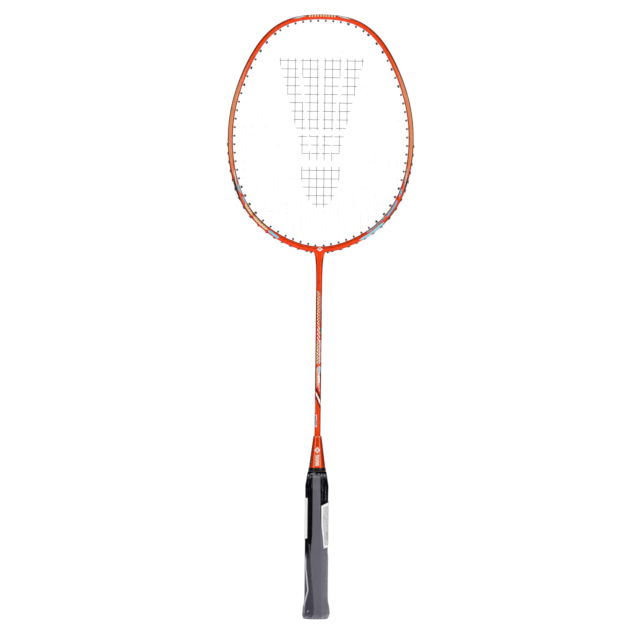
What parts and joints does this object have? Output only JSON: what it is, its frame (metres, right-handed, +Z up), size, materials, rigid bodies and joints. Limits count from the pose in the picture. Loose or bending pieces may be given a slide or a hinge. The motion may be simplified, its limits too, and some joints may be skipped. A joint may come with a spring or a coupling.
{
  "type": "badminton racket",
  "caption": "Glossy orange badminton racket: strung oval hoop with grommets, slim one-piece shaft, tapered cone and octagonal wrapped handle still in its clear film.",
  "frame": {"origin": "centre of the butt cap's flat end face", "axes": "+Z up the handle and shaft to the crown, +X to the right across the stringbed, Y through the racket's depth with the front face towards -Y"},
  "size_m": [0.2111, 0.0278, 0.675],
  "materials": {
    "orange_paint": "clear-coated orange paint over carbon fibre, with printed graphics",
    "carbon_insert": "bare moulded carbon composite, hidden inside the hoop and shaft",
    "string_white": "coated white nylon string, darkened where the face mark is printed",
    "grommet_black": "black moulded nylon",
    "grommet_clear": "smoke-grey moulded nylon",
    "handle_wood": "bare hardwood, hidden under the grip",
    "grip_wrap": "black-grey synthetic wrap with a fine grain",
    "collar_black": "black elastic finishing band",
    "cap_black": "black moulded cap",
    "badge_paper": "round printed sticker",
    "clear_film": "thin clear packing film, wrinkled",
    "label_paper": "white printed care label"
  },
  "bodies": {
    "root": {"head_frame": "orange_paint", "shaft": "orange_paint", "cone_cap": "orange_paint", "t_joint": "carbon_insert", "main_string": "string_white", "cross_string": "string_white", "crown_grommet_strip": "grommet_black", "left_grommet_strip": "grommet_black", "right_grommet_strip": "grommet_black", "handle_core": "handle_wood", "base_grip": "grip_wrap", "collar_band": "collar_black", "butt_cap": "cap_black", "butt_badge": "badge_paper", "grip_film": "clear_film", "care_label": "label_paper", "left_grommet_side_14": "grommet_clear", "left_grommet_side_15": "grommet_clear", "left_grommet_side_16": "grommet_clear", "left_grommet_side_17": "grommet_clear", "left_grommet_side_18": "grommet_clear", "left_grommet_side_19": "grommet_clear", "left_grommet_side_20": "grommet_clear", "left_grommet_side_21": "grommet_clear", "left_grommet_side_22": "grommet_clear", "left_grommet_base_1": "grommet_clear", "left_grommet_base_2": "grommet_clear", "left_grommet_base_3": "grommet_clear", "left_grommet_base_4": "grommet_clear", "left_grommet_base_5": "grommet_clear", "left_grommet_base_6": "grommet_clear", "left_grommet_base_7": "grommet_clear", "left_grommet_base_8": "grommet_clear", "right_grommet_side_14": "grommet_clear", "right_grommet_side_15": "grommet_clear", "right_grommet_side_16": "grommet_clear", "right_grommet_side_17": "grommet_clear", "right_grommet_side_18": "grommet_clear", "right_grommet_side_19": "grommet_clear", "right_grommet_side_20": "grommet_clear", "right_grommet_side_21": "grommet_clear", "right_grommet_side_22": "grommet_clear", "right_grommet_base_1": "grommet_clear", "right_grommet_base_2": "grommet_clear", "right_grommet_base_3": "grommet_clear", "right_grommet_base_4": "grommet_clear", "right_grommet_base_5": "grommet_clear", "right_grommet_base_6": "grommet_clear", "right_grommet_base_7": "grommet_clear", "right_grommet_base_8": "grommet_clear"}
  },
  "joints": []
}
